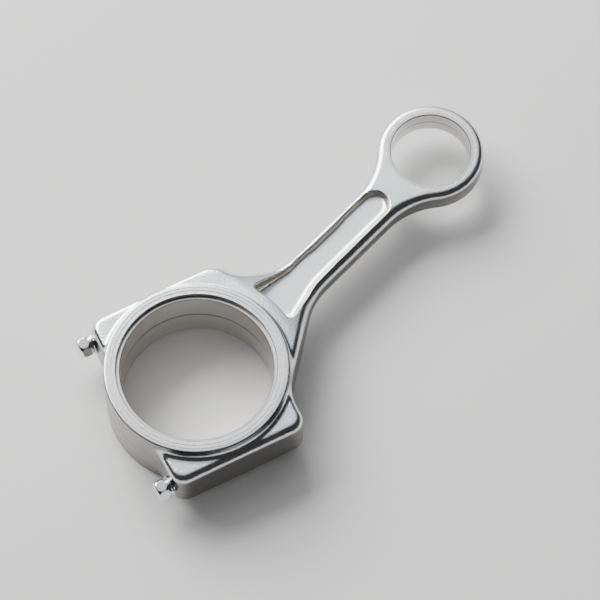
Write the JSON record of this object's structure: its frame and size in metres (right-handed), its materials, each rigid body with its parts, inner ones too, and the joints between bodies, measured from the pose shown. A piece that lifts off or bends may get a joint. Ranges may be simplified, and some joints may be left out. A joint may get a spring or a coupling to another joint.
{
  "type": "connecting rod",
  "caption": "Engine connecting rod with a pocketed shank, bushed small end and an obliquely split, shell-lined big end held by bolts.",
  "frame": {"origin": "centre of the big-end bore at half width", "axes": "+X from the big end to the small end, +Z along both bores"},
  "size_m": [0.1468, 0.0674, 0.021],
  "materials": {
    "forged_silver": "bead-burnished forged metal with turned ring faces",
    "bearing_shell": "satin grey lining",
    "bush_metal": "fine bored",
    "bright_bolt": "bright plated",
    "washer_steel": "bright"
  },
  "bodies": {
    "rod": {"rod": "forged_silver", "rod_half_shell": "bearing_shell", "small_end_bush": "bush_metal"},
    "cap": {"cap": "forged_silver", "cap_half_shell": "bearing_shell"},
    "far_washer": {"far_washer": "washer_steel"},
    "far_bolt": {"far_cap_bolt": "bright_bolt"},
    "near_washer": {"near_washer": "washer_steel"},
    "near_bolt": {"near_cap_bolt": "bright_bolt"}
  },
  "joints": [
    {"name": "cap_off", "type": "slide", "parent": "rod", "child": "cap", "axis": [-0.9397, 0.342, 0], "range_m": [0, 0.03]},
    {"name": "far_bolt_out", "type": "slide", "parent": "cap", "child": "far_washer", "axis": [-0.9397, 0.342, 0], "range_m": [0, 0.0135]},
    {"name": "far_bolt_turn", "type": "hinge", "parent": "far_washer", "child": "far_bolt", "pos_m": [0.00841, 0.02312, 0], "axis": [-0.9397, 0.342, 0], "range_deg": [0, 9721]},
    {"name": "near_bolt_out", "type": "slide", "parent": "cap", "child": "near_washer", "axis": [-0.9397, 0.342, 0], "range_m": [0, 0.0135]},
    {"name": "near_bolt_turn", "type": "hinge", "parent": "near_washer", "child": "near_bolt", "pos_m": [-0.00841, -0.02312, 0], "axis": [-0.9397, 0.342, 0], "range_deg": [0, 9721]}
  ],
  "couplings": [
    {"joint": "far_bolt_turn", "follows": "far_bolt_out", "rad_per_m": 12566},
    {"joint": "near_bolt_turn", "follows": "near_bolt_out", "rad_per_m": 12566}
  ]
}
